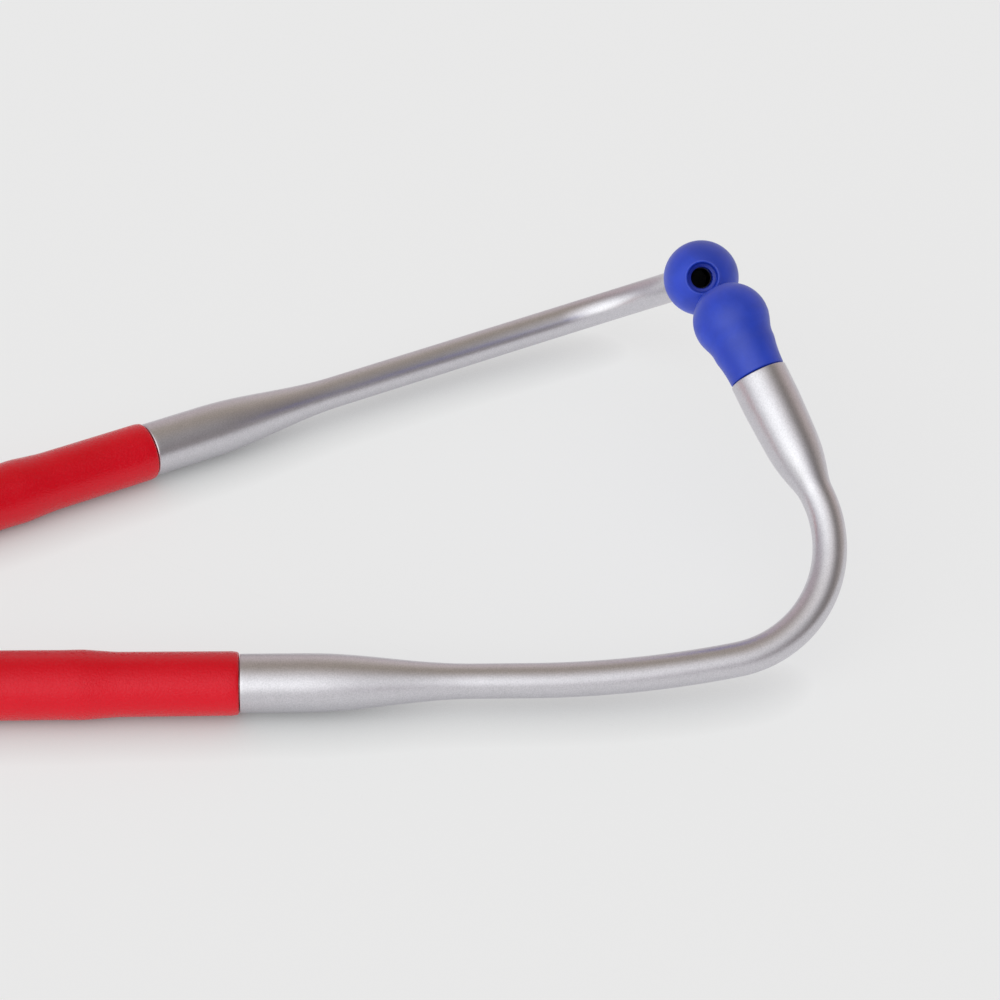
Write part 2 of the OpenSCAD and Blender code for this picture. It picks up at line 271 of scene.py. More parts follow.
def filleted(
    corners: Sequence[tuple[float, float, float]], steps: int = 6
) -> list[tuple[float, float]]:
    """Rounds the corners of an outline.

    Args:
        corners: (x, y, radius) of each corner, with radius 0 where it stays sharp.
        steps: how many stretches each round corner gets.

    Returns:
        The outline's points, with the round corners as arcs.
    """
    outline = []
    for i, (x, y, radius) in enumerate(corners):
        here = Vector((x, y))
        if radius <= 0 or i in (0, len(corners) - 1):
            outline.append((x, y))
            continue
        before = Vector(corners[i - 1][:2]) - here
        after = Vector(corners[i + 1][:2]) - here
        half = before.angle(after) / 2
        reach = min(radius / math.tan(half), 0.49 * before.length, 0.49 * after.length)
        start, end = here + before.normalized() * reach, here + after.normalized() * reach
        middle = here + (before.normalized() + after.normalized()).normalized() * (
            reach / math.cos(half)
        )
        first, last = start - middle, end - middle
        for step in range(steps + 1):
            arm = first.slerp(last, step / steps).normalized() * first.length
            outline.append(tuple(middle + arm))
    return outline


def smooth_through(knots: Pairs) -> Callable[[float], float]:
    """A smooth curve of radius against distance that doesn't overshoot its knots.

    Args:
        knots: (distance, radius) pairs with rising distance.

    Returns:
        A function from distance to radius.
    """
    xs, ys = np.array(knots, float).T
    slope = np.diff(ys) / np.diff(xs)
    product, total = slope[:-1] * slope[1:], slope[:-1] + slope[1:]
    inner = np.where(product > 0, 2 * product / np.where(total == 0, 1, total), 0)
    tangent = np.concatenate([[slope[0]], inner, [slope[-1]]])

    def radius_at(x: float) -> float:
        """The radius at a distance, held constant beyond the ends."""
        x = min(max(x, xs[0]), xs[-1])
        i = int(min(max(np.searchsorted(xs, x) - 1, 0), len(xs) - 2))
        width = xs[i + 1] - xs[i]
        t = (x - xs[i]) / width
        return float(
            (1 + 2 * t) * (1 - t) ** 2 * ys[i]
            + t * (1 - t) ** 2 * width * tangent[i]
            + t * t * (3 - 2 * t) * ys[i + 1]
            - t * t * (1 - t) * width * tangent[i + 1]
        )

    return radius_at


def spline_through(knots: Sequence[Vector], steps: int) -> list[Vector]:
    """Points on one smooth curve through given points.

    Args:
        knots: the points that the curve passes.
        steps: how many stretches each span gets.

    Returns:
        The points along the curve.
    """
    ends = [2 * knots[0] - knots[1], *knots, 2 * knots[-1] - knots[-2]]
    line = []
    for a, b, c, d in zip(ends, ends[1:], ends[2:], ends[3:]):
        for step in range(steps):
            t = step / steps
            line.append(
                0.5 * (2 * b + (c - a) * t + (2 * a - 5 * b + 4 * c - d) * t**2
                       + (3 * b - a - 3 * c + d) * t**3)
            )
    return [*line, knots[-1].copy()]


# ---- shader parts


class Shader:
    """A material's node tree, with short ways to place and link nodes."""

    def __init__(self, tree: bpy.types.NodeTree) -> None:
        """Wraps a tree and empties it."""
        self.tree = tree
        tree.nodes.clear()

    def add(self, kind: str, **values: object) -> bpy.types.Node:
        """Places a node.

        Args:
            kind: the node's type name.
            values: attributes of the node, or values of its input sockets, whose names
                have underscores for spaces.

        Returns:
            The node.
        """
        node = self.tree.nodes.new(kind)
        for key, value in values.items():
            if hasattr(node, key):
                setattr(node, key, value)
            else:
                node.inputs[key.replace("_", " ")].default_value = value
        return node

    def link(self, source: Socket, target: Socket) -> None:
        """Joins two sockets."""
        self.tree.links.new(source, target)

    def ramp(self, factor: Socket, stops: Sequence[tuple[float, Colour]]) -> Socket:
        """Places a colour ramp.

        Args:
            factor: what drives it.
            stops: (position, colour) pairs.

        Returns:
            The ramp's colour socket.
        """
        node = self.add("ShaderNodeValToRGB")
        elements = node.color_ramp.elements
        while len(elements) < len(stops):
            elements.new(0.5)
        for element, (position, colour) in zip(elements, stops):
            element.position = position
            element.color = (*colour, 1.0)
        self.link(factor, node.inputs["Fac"])
        return node.outputs["Color"]

    def between(self, factor: Socket, low: float, high: float) -> Socket:
        """Carries a factor of 0 to 1 onto a range and returns the result."""
        node = self.add("ShaderNodeMapRange", To_Min=low, To_Max=high)
        self.link(factor, node.inputs["Value"])
        return node.outputs[0]

    def math(self, operation: str, a: Socket | float, b: Socket | float) -> Socket:
        """Places a Math node on two sockets or numbers and returns its result."""
        node = self.add("ShaderNodeMath", operation=operation)
        for socket, value in zip(node.inputs, (a, b)):
            if isinstance(value, (int, float)):
                socket.default_value = value
            else:
                self.link(value, socket)
        return node.outputs[0]

    def mix(self, factor: Socket, a: Socket | Colour, b: Socket | Colour) -> Socket:
        """Places a colour mix of two colours or sockets and returns its result."""
        node = self.add("ShaderNodeMix", data_type="RGBA")
        self.link(factor, node.inputs["Factor"])
        for socket, value in zip((node.inputs[6], node.inputs[7]), (a, b)):
            if isinstance(value, tuple):
                socket.default_value = (*value, 1.0)
            else:
                self.link(value, socket)
        return node.outputs[2]


class Effects:
    """Shader node groups that more than one finish uses, each built once."""

    _made: dict[str, bpy.types.NodeTree] = {}

    @classmethod
    def group(
        cls,
        name: str,
        inputs: dict[str, float],
        outputs: Sequence[str],
        build: Callable[[Shader, bpy.types.Node, bpy.types.Node], None],
    ) -> bpy.types.NodeTree:
        """Builds a group the first time and hands it back after that.

        Args:
            name: the group's name.
            inputs: its number inputs with their defaults.
            outputs: its number outputs.
            build: fills the group, given its tree, its input node and its output node.

        Returns:
            The node group.
        """
        if name not in cls._made:
            tree = bpy.data.node_groups.new(name, "ShaderNodeTree")
            number = "NodeSocketFloat"
            for key, value in inputs.items():
                socket = tree.interface.new_socket(key, in_out="INPUT", socket_type=number)
                socket.default_value = value
            for key in outputs:
                tree.interface.new_socket(key, in_out="OUTPUT", socket_type=number)
            shader = Shader(tree)
            build(shader, shader.add("NodeGroupInput"), shader.add("NodeGroupOutput"))
            cls._made[name] = tree
        return cls._made[name]

    @classmethod
    def grain(cls) -> bpy.types.NodeTree:
        """Fine, even texture in two sizes, as blasting or a matte mould leaves.

        Returns:
            A group whose Height drives a bump, and whose Mask varies a colour.
        """

        def build(s: Shader, given: bpy.types.Node, out: bpy.types.Node) -> None:
            place = s.add("ShaderNodeTexCoord").outputs["Object"]
            fine = s.add("ShaderNodeTexNoise", Detail=3.0, Roughness=0.65)
            s.link(place, fine.inputs["Vector"])
            s.link(given.outputs["Scale"], fine.inputs["Scale"])
            broad = s.add("ShaderNodeTexNoise", Detail=2.0)
            s.link(place, broad.inputs["Vector"])
            s.link(s.math("MULTIPLY", given.outputs["Scale"], 0.12), broad.inputs["Scale"])
            s.link(fine.outputs[0], out.inputs["Height"])
            swing = s.math("SUBTRACT", broad.outputs[0], 0.5)
            clumps = s.math("MULTIPLY", given.outputs["Clumping"], swing)
            s.link(s.math("ADD", fine.outputs[0], clumps), out.inputs["Mask"])

        inputs = {"Scale": 4000.0, "Clumping": 0.5}
        return cls.group("fine_grain", inputs, ("Height", "Mask"), build)

    @classmethod
    def handling(cls) -> bpy.types.NodeTree:
        """Soft blotches of shine where hands have held the piece.

        Returns:
            A group whose Mask is 0 to 1.
        """

        def build(s: Shader, given: bpy.types.Node, out: bpy.types.Node) -> None:
            place = s.add("ShaderNodeTexCoord").outputs["Object"]
            cloud = s.add("ShaderNodeTexNoise", Detail=4.0, Distortion=0.4)
            s.link(place, cloud.inputs["Vector"])
            s.link(given.outputs["Scale"], cloud.inputs["Scale"])
            spread = s.add(
                "ShaderNodeMapRange", interpolation_type="SMOOTHSTEP", From_Min=0.3, From_Max=0.72
            )
            s.link(cloud.outputs[0], spread.inputs["Value"])
            s.link(spread.outputs[0], out.inputs["Mask"])

        return cls.group("handling_marks", {"Scale": 60.0}, ("Mask",), build)

    @classmethod
    def bloom(cls) -> bpy.types.NodeTree:
        """Pale dust that settles on faces that look upwards.

        Returns:
            A group whose Mask is 0 to Amount.
        """

        def build(s: Shader, given: bpy.types.Node, out: bpy.types.Node) -> None:
            facing = s.add("ShaderNodeSeparateXYZ")
            s.link(s.add("ShaderNodeNewGeometry").outputs["Normal"], facing.inputs[0])
            upward = s.add("ShaderNodeMapRange", From_Min=-0.2, From_Max=1.0)
            s.link(facing.outputs["Z"], upward.inputs["Value"])
            cloud = s.add("ShaderNodeTexNoise", Scale=350.0, Detail=5.0, Roughness=0.7)
            s.link(s.add("ShaderNodeTexCoord").outputs["Object"], cloud.inputs["Vector"])
            dusty = s.math("MULTIPLY", upward.outputs[0], cloud.outputs[0])
            s.link(s.math("MULTIPLY", dusty, given.outputs["Amount"]), out.inputs["Mask"])

        return cls.group("pale_bloom", {"Amount": 0.5}, ("Mask",), build)


def use_group(shader: Shader, group: bpy.types.NodeTree, **values: float) -> bpy.types.Node:
    """Places an effect in a material.

    Args:
        shader: the material's tree.
        group: the effect.
        values: its inputs.

    Returns:
        The group node.
    """
    node = shader.add("ShaderNodeGroup", node_tree=group)
    for key, value in values.items():
        node.inputs[key].default_value = value
    return node


def new_material(name: str) -> tuple[bpy.types.Material, Shader]:
    """Makes an empty node material and returns it with its shader tree."""
    material = bpy.data.materials.new(name)
    material.use_nodes = True
    return material, Shader(material.node_tree)


def finish_surface(
    shader: Shader,
    principled: bpy.types.Node,
    colour: Socket,
    shine: Socket,
    height: Socket,
    distance: float,
    strength: float,
) -> None:
    """Adds the colour, the roughness, the bump and the output to a material.

    Args:
        shader: the material's tree.
        principled: its surface shader.
        colour: its base colour.
        shine: its roughness.
        height: what drives the bump.
        distance: how deep the bump is, in metres.
        strength: how strongly it shows, 0 to 1.
    """
    shader.link(colour, principled.inputs["Base Color"])
    shader.link(shine, principled.inputs["Roughness"])
    bump = shader.add("ShaderNodeBump", Strength=strength, Distance=distance)
    shader.link(height, bump.inputs["Height"])
    shader.link(bump.outputs[0], principled.inputs["Normal"])
    out = shader.add("ShaderNodeOutputMaterial")
    shader.link(principled.outputs[0], out.inputs["Surface"])


@dataclass(frozen=True)
class BlastedMetal:
    """Bead-blasted metal with a satin sheen and a fine sparkle."""

    name: str
    dark: Colour
    light: Colour
    roughness: tuple[float, float]
    grain: float = 4200.0
    depth: float = 0.00004
    relief: float = 0.5

    def material(self) -> bpy.types.Material:
        """Builds the material."""
        material, s = new_material(self.name)
        grain = use_group(s, Effects.grain(), Scale=self.grain, Clumping=0.12)
        marks = use_group(s, Effects.handling(), Scale=45.0)
        shine = s.between(marks.outputs["Mask"], *self.roughness)
        surface = s.add("ShaderNodeBsdfPrincipled", Metallic=1.0)
        tint = s.ramp(grain.outputs["Mask"], [(0.3, self.dark), (0.7, self.light)])
        finish_surface(s, surface, tint, shine, grain.outputs["Height"], self.depth, self.relief)
        return material


@dataclass(frozen=True)
class TurnedMetal:
    """Metal turned on a lathe, with fine rings about an upright axis."""

    name: str
    colour: Colour
    middle: tuple[float, float]
    roughness: float = 0.3
    rings_per_metre: float = 5200.0
    climb_share: float = 0.7
    lift: float = 1.12
    wear: float = 0.14
    depth: float = 0.00002

    def material(self) -> bpy.types.Material:
        """Builds the material."""
        material, s = new_material(self.name)
        apart = s.add("ShaderNodeSeparateXYZ")
        s.link(s.add("ShaderNodeTexCoord").outputs["Object"], apart.inputs[0])
        east = s.math("SUBTRACT", apart.outputs["X"], self.middle[0])
        north = s.math("SUBTRACT", apart.outputs["Y"], self.middle[1])
        square = s.math("ADD", s.math("MULTIPLY", east, east), s.math("MULTIPLY", north, north))
        climb = s.math("MULTIPLY", apart.outputs["Z"], self.climb_share)
        reach = s.math("ADD", s.math("SQRT", square, 0.0), climb)
        rings = s.add("ShaderNodeTexNoise", noise_dimensions="1D", Scale=self.rings_per_metre)
        s.link(reach, rings.inputs["W"])
        marks = use_group(s, Effects.handling(), Scale=70.0)
        shine = s.between(marks.outputs["Mask"], self.roughness, self.roughness + self.wear)
        surface = s.add("ShaderNodeBsdfPrincipled", Metallic=1.0)
        pale = tuple(min(1.0, self.lift * c) for c in self.colour)
        tint = s.ramp(rings.outputs[0], [(0.3, self.colour), (0.7, pale)])
        finish_surface(s, surface, tint, shine, rings.outputs[0], self.depth, 0.25)
        return material


@dataclass(frozen=True)
class SoftVinyl:
    """Soft PVC tubing with a satin skin and a very fine wrinkle."""

    name: str
    colour: Colour
    deep: Colour
    gloss: Colour = (1.0, 0.42, 0.5)
    roughness: tuple[float, float] = (0.2, 0.28)
    wrinkle: float = 1800.0
    waver: float = 0.0008
    depth: float = 0.00005
    relief: float = 0.5

    def material(self) -> bpy.types.Material:
        """Builds the material."""
        material, s = new_material(self.name)
        place = s.add("ShaderNodeTexCoord").outputs["Object"]
        cells = s.add("ShaderNodeTexVoronoi", feature="DISTANCE_TO_EDGE", Scale=self.wrinkle)
        warp = s.add("ShaderNodeTexNoise", Scale=600.0, Detail=2.0)
        s.link(place, warp.inputs["Vector"])
        shifted = s.add("ShaderNodeVectorMath", operation="MULTIPLY_ADD")
        s.link(warp.outputs["Color"], shifted.inputs[0])
        shifted.inputs[1].default_value = (self.waver,) * 3
        s.link(place, shifted.inputs[2])
        s.link(shifted.outputs[0], cells.inputs["Vector"])
        grain = use_group(s, Effects.grain(), Scale=2600.0, Clumping=0.3)
        marks = use_group(s, Effects.handling(), Scale=50.0)
        shine = s.between(marks.outputs["Mask"], *self.roughness)
        surface = s.add("ShaderNodeBsdfPrincipled", IOR=1.5, Specular_IOR_Level=0.7)
        surface.inputs["Specular Tint"].default_value = (*self.gloss, 1.0)
        tint = s.ramp(marks.outputs["Mask"], [(0.0, self.deep), (1.0, self.colour)])
        creases = s.add("ShaderNodeMapRange", From_Max=0.2)
        s.link(cells.outputs["Distance"], creases.inputs["Value"])
        fine = s.math("MULTIPLY", grain.outputs["Height"], 0.8)
        height = s.math("ADD", creases.outputs[0], fine)
        finish_surface(s, surface, tint, shine, height, self.depth, self.relief)
        return material


@dataclass(frozen=True)
class Silicone:
    """Matte silicone with a soft sheen and a trace of pale bloom."""

    name: str
    colour: Colour
    deep: Colour
    dusty: Colour
    bloom: float = 0.2
    roughness: float = 0.33
    wear: float = 0.15
    depth: float = 0.00003

    def material(self) -> bpy.types.Material:
        """Builds the material."""
        material, s = new_material(self.name)
        grain = use_group(s, Effects.grain(), Scale=3200.0, Clumping=0.5)
        marks = use_group(s, Effects.handling(), Scale=160.0)
        dust = use_group(s, Effects.bloom(), Amount=self.bloom)
        body = s.ramp(marks.outputs["Mask"], [(0.0, self.deep), (1.0, self.colour)])
        surface = s.add(
            "ShaderNodeBsdfPrincipled", IOR=1.42, Specular_IOR_Level=0.75,
            Sheen_Weight=0.2, Sheen_Roughness=0.4,
        )
        surface.inputs["Sheen Tint"].default_value = (*self.dusty, 1.0)
        tint = s.mix(dust.outputs["Mask"], body, self.dusty)
        shine = s.between(grain.outputs["Mask"], self.roughness, self.roughness + self.wear)
        finish_surface(s, surface, tint, shine, grain.outputs["Height"], self.depth, 0.3)
        return material


@dataclass(frozen=True)
class Moulded:
    """Hard moulded plastic or plain rubber."""

    name: str
    colour: Colour
    pale: Colour
    roughness: float = 0.45
    coat: float = 0.0
    wear: float = 0.1
    depth: float = 0.00002

    def material(self) -> bpy.types.Material:
        """Builds the material."""
        material, s = new_material(self.name)
        grain = use_group(s, Effects.grain(), Scale=2200.0, Clumping=0.6)
        surface = s.add(
            "ShaderNodeBsdfPrincipled", IOR=1.48, Coat_Weight=self.coat, Coat_Roughness=0.12
        )
        tint = s.ramp(grain.outputs["Mask"], [(0.25, self.colour), (0.8, self.pale)])
        shine = s.between(grain.outputs["Mask"], self.roughness, self.roughness + self.wear)
        finish_surface(s, surface, tint, shine, grain.outputs["Height"], self.depth, 0.2)
        return material


class Finishes:
    """Every finish of the stethoscope, built once."""

    def __init__(self) -> None:
        """Builds the materials."""
        chest = PLACES.chest
        self.ear_metal = BlastedMetal(
            "satin_ear_tube", (0.55, 0.54, 0.57), (0.72, 0.70, 0.74), (0.31, 0.35)
        ).material()
        self.stem_metal = BlastedMetal(
            "satin_stem", (0.56, 0.55, 0.57), (0.72, 0.71, 0.73), (0.3, 0.38)
        ).material()
        self.chest_metal = TurnedMetal(
            "turned_chestpiece", (0.62, 0.61, 0.62), (chest.x, chest.y)
        ).material()
        self.spring_metal = BlastedMetal(
            "spring_strip", (0.3, 0.3, 0.32), (0.42, 0.42, 0.44), (0.28, 0.4), 2600.0
        ).material()
        self.screw_metal = BlastedMetal(
            "black_screw", (0.05, 0.05, 0.055), (0.1, 0.1, 0.11), (0.35, 0.5), 3000.0
        ).material()
        self.vinyl = SoftVinyl("red_vinyl", (0.76, 0.0, 0.011), (0.71, 0.0, 0.009)).material()
        self.silicone = Silicone(
            "blue_silicone", (0.010, 0.056, 0.62), (0.006, 0.041, 0.48), (0.12, 0.15, 0.60)
        ).material()
        # Black moulded core of the ear tips. The same black also goes on the bore inside each
        # metal ear tube, as painted shade in that hollow.
        self.core = Moulded("black_core_and_bore_shade", (0.006, 0.006, 0.010), (0.015, 0.015, 0.025)).material()
        self.seal = Moulded(
            "black_seal", (0.012, 0.012, 0.012), (0.03, 0.03, 0.03), 0.55
        ).material()
        self.bearing = Moulded("grey_bearing", (0.04, 0.04, 0.042), (0.07, 0.07, 0.073)).material()
        self.film = Moulded(
            "pale_diaphragm", (0.66, 0.64, 0.57), (0.72, 0.70, 0.64), 0.3, 0.4
        ).material()


# ---- headset


@dataclass(frozen=True)
class EarTube:
    """A bent metal ear tube, with a thick end beside the tubing and a flare beside the tip."""

    tube_r: float = 3.0
    collar_r: float = 5.0
    collar_length: float = 11.0
    taper_length: float = 28.5
    straight: float = 48.9
    gentle_angle: float = math.radians(10.6)
    gentle_r: float = 196.0
    full_angle: float = math.radians(113.2)
    tight_r: float = 21.1
    tip_reach: float = 34.9
    metal_end: float = 11.1
    flare_r: float = 5.2
    roll: float = math.radians(38.4)
    spigot_r: float = 3.2
    spigot_length: float = 16.0
    face: float = 0.0
    edge: float = 0.15
    bore_r: float = 2.0
    bore_depth: float = 14.0
    step: float = 0.7
    sides: int = 72

    @property
    def spans(self) -> tuple[tuple[float, float], ...]:
        """(length, curvature) of each stretch, from the thick end's face to the tip's ball."""
        return (
            (self.straight, 0.0),
            (self.gentle_r * self.gentle_angle, 1 / self.gentle_r),
            (self.tight_r * (self.full_angle - self.gentle_angle), 1 / self.tight_r),
            (self.tip_reach, 0.0),
        )

    @property
    def length(self) -> float:
        """Distance along the tube from the thick end's face to the middle of the ball."""
        return sum(length for length, _ in self.spans)

    def at(self, distance: float) -> tuple[Vector, float]:
        """A point on the tube's middle, in the plane of its bends.

        Args:
            distance: how far along, in millimetres.

        Returns:
            The point in millimetres, and how far the tube has turned, in radians.
        """
        x, y, turn = 0.0, 0.0, 0.0
        if distance <= 0:
            return Vector((0, distance, 0)), 0.0
        for length, curve in self.spans:
            run = min(distance, length)
            if curve:
                after = turn + curve * run
                x -= (math.cos(turn) - math.cos(after)) / curve
                y += (math.sin(after) - math.sin(turn)) / curve
                turn = after
            else:
                x -= run * math.sin(turn)
                y += run * math.cos(turn)
            distance -= run
            if distance <= 0:
                break
        return Vector((x, y, 0)), turn

    def radius(self) -> Callable[[float], float]:
        """The outside radius along the tube, past the rounded edge of the thick end."""
        end = self.length
        mean, swing = (self.collar_r + self.tube_r) / 2, (self.collar_r - self.tube_r) / 2
        taper = [
            (self.collar_length + self.taper_length * t, mean + swing * math.cos(math.pi * t))
            for t in (0, 0.12, 0.25, 0.4, 0.55, 0.7, 0.82, 0.92, 1)
        ]
        flare = [
            (end - 36.5, self.tube_r), (end - 34.2, self.tube_r + 0.02),
            (end - 32.6, self.tube_r + 0.3), (end - 30.8, 3.78), (end - 28.7, 4.28),
            (end - 26.6, 4.63), (end - 24.4, 4.83), (end - 20.0, 5.05), (end - 15.8, self.flare_r),
            (end - self.metal_end, self.flare_r),
        ]
        start, middle = (self.face, self.collar_r), (self.straight, self.tube_r)
        return smooth_through([start, *taper, middle, *flare])

    def rings(self) -> list[tuple[float, float]]:
        """(distance, radius) of every ring, from the spigot's end to the ear tip's seat."""
        end = self.length - self.metal_end
        outside = self.radius()
        rings = [
            (-self.spigot_length, self.bore_r), (-self.spigot_length, self.spigot_r - 0.3),
            (0.3 - self.spigot_length, self.spigot_r), (self.face, self.spigot_r),
        ]
        corner = [math.radians(15 * k) for k in range(7)]
        rings += [
            (
                self.face + self.edge * (1 - math.cos(a)),
                self.collar_r - self.edge * (1 - math.sin(a)),
            )
            for a in corner
        ]
        start = self.face + self.edge
        run = end - self.edge - start
        steps = int(run / self.step)
        rings += [
            (d, outside(d)) for d in (start + run * k / steps for k in range(1, steps + 1))
        ]
        rings += [
            (end - self.edge * (1 - math.sin(a)), self.flare_r - self.edge * (1 - math.cos(a)))
            for a in corner[1:]
        ]
        return [*rings, (end, self.bore_r), (end - self.bore_depth, self.bore_r)]

    def bend_plane(self) -> Matrix:
        """Carries the plane of the bends into the frame, in metres, on the right side."""
        roll = Matrix.Rotation(self.roll, 4, "Y")
        return PLACES.tube_axis() @ roll @ Matrix.Scale(MM, 4)

    def tip_place(self) -> Matrix:
        """The ear tip's frame: the ball's middle as the origin, +Z outwards, millimetres."""
        middle, turn = self.at(self.length)
        aim = Matrix.Rotation(turn, 4, "Z") @ Matrix.Rotation(-math.pi / 2, 4, "X")
        return self.bend_plane() @ Matrix.Translation(middle) @ aim

    def build(self, side: Side, finishes: Finishes) -> bpy.types.Object:
        """Builds the tube.

        Args:
            side: the side it belongs to.
            finishes: the object's finishes.

        Returns:
            The piece, which stands for the frame's ear tube.
        """
        rings = self.rings()
        points = []
        for distance, radius in rings:
            middle, turn = self.at(distance)
            across = Vector((math.cos(turn), math.sin(turn), 0))
            for k in range(self.sides):
                a = TURN * k / self.sides
                out = math.cos(a) * across + Vector((0, 0, math.sin(a)))
                points.append(middle + radius * out)
        faces = [list(reversed(face)) for face in tube_faces(len(rings), self.sides)]
        place = PLACES.mirror(side) @ self.bend_plane()
        name = f"ear_tube_{side.word}_metal"
        piece = new_piece(name, (points, faces), finishes.ear_metal, place)
        # The bore's wall and floor inside the metal tube take the black finish: painted shade in
        # the hollow, not a black part of its own.
        piece.data.materials.append(finishes.core)
        bore_from = (len(rings) - 2) * self.sides
        for polygon in piece.data.polygons:
            if min(polygon.vertices) >= bore_from:
                polygon.material_index = 1
        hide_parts(f"ear_tube_{side.word}")
        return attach(piece, f"headset_{side.word}")


@dataclass(frozen=True)
class EarTip:
    """A soft ear tip: a ball with an open mouth, on a neck as wide as the ear tube's flare."""

    ball_r: float = 6.8
    neck_r: float = 5.02
    neck_end: float = 10.9
    neck_bore_r: float = 3.6
    neck_bore_end: float = 3.0
    mouth_r: float = 3.0
    lip: float = 0.3
    floor: float = 2.6
    channel_r: float = 1.92
    sides: int = 96

    def outline(self) -> list[tuple[float, float]]:
        """(radius, height) of the tip's skin, from the neck's bore round to the channel."""
        waist = smooth_through([
            (-self.neck_end, self.neck_r), (-9.2, 5.12), (-7.6, 5.3), (-6.6, 5.48), (-6.0, 5.6),
            (-5.5, 5.66), (-5.0, 5.68), (-4.4, 5.74), (-3.8, 5.88), (-3.2, 6.08), (-2.6, 6.3),
            (-1.8, 6.56), (-0.8, 6.76), (0, self.ball_r),
        ])
        neck = [(waist(h), h) for h in np.linspace(0.3 - self.neck_end, 0, 52)]
        rim_angle = math.asin((self.mouth_r + self.lip) / self.ball_r)
        ball = [
            (self.ball_r * math.cos(a), self.ball_r * math.sin(a))
            for a in np.linspace(0, math.pi / 2 - rim_angle, 24)[1:]
        ]
        top = ball[-1][1]
        lip_top = top - self.lip * 0.35
        lip = [
            (self.mouth_r + self.lip * math.cos(a), lip_top + self.lip * math.sin(a) * 0.9)
            for a in (math.radians(d) for d in (38, 62, 90, 118, 145, 180))
        ]
        inside = [
            (self.mouth_r - 0.05, self.floor + 0.5), (self.mouth_r - 0.35, self.floor + 0.1),
            (self.channel_r + 0.5, self.floor), (self.channel_r + 0.1, self.floor - 0.15),
            (self.channel_r, self.floor - 0.5), (self.channel_r, -self.neck_bore_end),
            (self.neck_bore_r, -self.neck_bore_end), (self.neck_bore_r, -self.neck_end),
        ]
        foot = [(self.neck_r - 0.3, -self.neck_end), (self.neck_r - 0.08, 0.08 - self.neck_end)]
        return [*foot, *neck, *ball, *lip, *inside]

    def build(self, side: Side, tube: EarTube, finishes: Finishes) -> bpy.types.Object:
        """Builds the tip.

        Args:
            side: the side it belongs to.
            tube: the ear tube that carries it.
            finishes: the object's finishes.

        Returns:
            The piece, which stands for the frame's ear tip.
        """
        shape = hollow_turned(self.outline(), self.sides)
        place = PLACES.mirror(side) @ tube.tip_place()
        piece = new_piece(f"ear_tip_{side.word}_ball", shape, finishes.silicone, place, 50.0)
        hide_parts(f"ear_tip_{side.word}")
        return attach(piece, f"headset_{side.word}")


# ---- soft tubing


# The bend's radius in millimetres, and a stretch ahead of the knuckle, in metres, whose two ends
# bend_with_arm works out and then leaves unused.
BEND_R = 120.0
BLEND_FROM, BLEND_TO = 0.004, 0.034


def knuckle_arc(aside: float, angles: Sequence[float]) -> list[Vector]:
    """Points along the right branch's bend.

    Args:
        aside: how far they lie from the branch's middle, towards the inside of the headset,
            in millimetres.
        angles: how far the branch has turned at each point, in radians.

    Returns:
        The points, in metres.
    """
    centre = PLACES.knuckle + Vector((BEND_R * MM, 0, 0))
    reach = (BEND_R + aside) * MM
    return [centre + reach * Vector((-math.cos(a), math.sin(a), 0)) for a in angles]


def bend_with_arm(piece: bpy.types.Object, side: Side) -> bpy.types.Object:
    """Bakes a piece's placing into its mesh and returns it; the side's stretch ahead of the
    knuckle is worked out but not used.
    """
    ahead = (PLACES.knuckle + Vector((0, y, 0)) for y in (BLEND_FROM, BLEND_TO))
    start, finish = (PLACES.mirror(side) @ place for place in ahead)
    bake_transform(piece)
    return piece


@dataclass(frozen=True)
class Branch:
    """One branch of the soft Y-tubing, from inside the yoke to the ear tube's thick end."""

    hose_r: float = 5.9
    cuff_r: float = 5.45
    face: float = 0.0
    gap: float = 0.12
    edge: float = 0.5
    mouth_in: float = 0.1
    dish: float = 0.02
    stub: float = 7.0
    bore_r: float = 3.25
    sides: int = 72

    def middle(self) -> list[Vector]:
        """Points along the branch's middle on the right side, from the yoke, in metres."""
        knuckle, socket, axis = PLACES.knuckle, PLACES.socket, PLACES.axis
        stub = [knuckle + Vector((0, -d * MM, 0)) for d in np.linspace(self.stub, 0.5, 8)]
        arc = knuckle_arc(0, np.linspace(0, PLACES.half_angle, 24))
        start = arc[-1]
        run = (socket - start).length + (self.face - self.gap) * MM
        straight = [start + axis * run * t for t in np.linspace(0, 1, 90)[1:]]
        return [*stub, *arc, *straight]

    def radius(self) -> Callable[[float], float]:
        """The outside radius by the distance from the branch's open end, in millimetres."""
        return smooth_through([
            (0, self.cuff_r - 0.12), (0.8, self.cuff_r), (10, self.cuff_r + 0.02),
            (20, self.cuff_r + 0.05), (23.5, 5.72), (26.5, 5.93), (30, 5.88), (36, self.hose_r),
        ])

    def build(self, side: Side, finishes: Finishes) -> bpy.types.Object:
        """Builds the branch.

        Args:
            side: the side it belongs to.
            finishes: the object's finishes.

        Returns:
            The piece, with its placing baked into its mesh.
        """
        path = self.middle()
        end = path[-1]
        axis = PLACES.axis
        lengths = [0.0]
        for a, b in zip(path, path[1:]):
            lengths.append(lengths[-1] + (b - a).length / MM)
        total = lengths[-1]
        radius = self.radius()
        rings, radii = [], []
        for point, run in zip(path, lengths):
            if total - run > self.edge:
                rings.append(point)
                radii.append(radius(total - run) * MM)
        for degrees in range(0, 91, 15):
            a = math.radians(degrees)
            rings.append(end - axis * (self.edge * (1 - math.sin(a)) * MM))
            radii.append((self.cuff_r - self.mouth_in - self.edge * (1 - math.cos(a))) * MM)
        rings.append(end - axis * self.dish * MM)
        radii.append(self.bore_r * MM)
        shape = swept(rings, radii, self.sides)
        name = f"branch_{side.word}_vinyl"
        piece = new_piece(name, shape, finishes.vinyl, PLACES.mirror(side), 60.0)
        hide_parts(f"branch_{side.word}")
        return bend_with_arm(piece, side)


